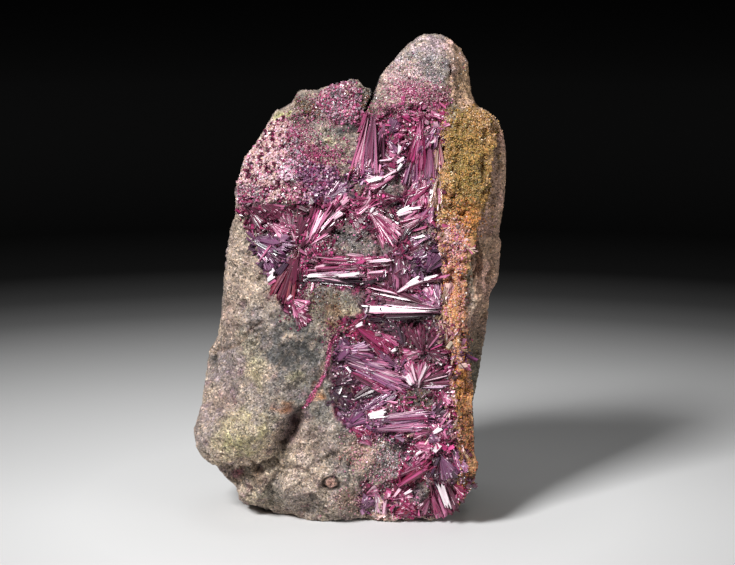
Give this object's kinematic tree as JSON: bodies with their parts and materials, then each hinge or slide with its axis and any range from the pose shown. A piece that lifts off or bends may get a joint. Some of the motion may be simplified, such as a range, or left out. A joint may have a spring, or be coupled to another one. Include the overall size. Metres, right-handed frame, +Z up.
{
  "type": "erythrite specimen",
  "caption": "Standing block of grey host rock with a rounded tongue, an ochre crust down one edge and fans of flat magenta crystals across its face.",
  "frame": {"origin": "under the middle of the specimen's box, on the surface it stands on", "axes": "+Z up through the tongue, -Y out of the crystal face, +X towards the ochre edge"},
  "size_m": [0.0566, 0.0374, 0.0865],
  "materials": {
    "matrix_stone": "rough grainy broken stone",
    "ochre_limonite": "earthy matt crust",
    "erythrite_druse": "sparkling small crystals",
    "erythrite_crystal": "pearly to glassy flat crystals"
  },
  "bodies": {
    "root": {"druse_crevice": "erythrite_druse", "druse_shoulder": "erythrite_druse", "matrix_rock": "matrix_stone", "ochre_crust": "ochre_limonite", "spray_arc": "erythrite_crystal", "spray_band_upper": "erythrite_crystal", "spray_band_upper_b": "erythrite_crystal", "spray_band_white": "erythrite_crystal", "spray_diagonal": "erythrite_crystal", "spray_flakes": "erythrite_crystal", "spray_foot_left": "erythrite_crystal", "spray_foot_red": "erythrite_crystal", "spray_foot_white": "erythrite_crystal", "spray_left_maroon": "erythrite_crystal", "spray_left_tip": "erythrite_crystal", "spray_long_white": "erythrite_crystal", "spray_lower_block": "erythrite_crystal", "spray_lower_block_b": "erythrite_crystal", "spray_maroon_fan": "erythrite_crystal", "spray_purple_fan": "erythrite_crystal", "spray_purple_fan_b": "erythrite_crystal", "spray_red_blades": "erythrite_crystal", "spray_ridged": "erythrite_crystal", "spray_right_star": "erythrite_crystal", "spray_rose": "erythrite_crystal", "spray_shoulder_dark": "erythrite_crystal", "spray_star": "erythrite_crystal", "spray_top_blades": "erythrite_crystal", "spray_top_small": "erythrite_crystal", "spray_top_upright": "erythrite_crystal", "spray_white_flag": "erythrite_crystal", "spray_y_flake": "erythrite_crystal"}
  },
  "joints": []
}
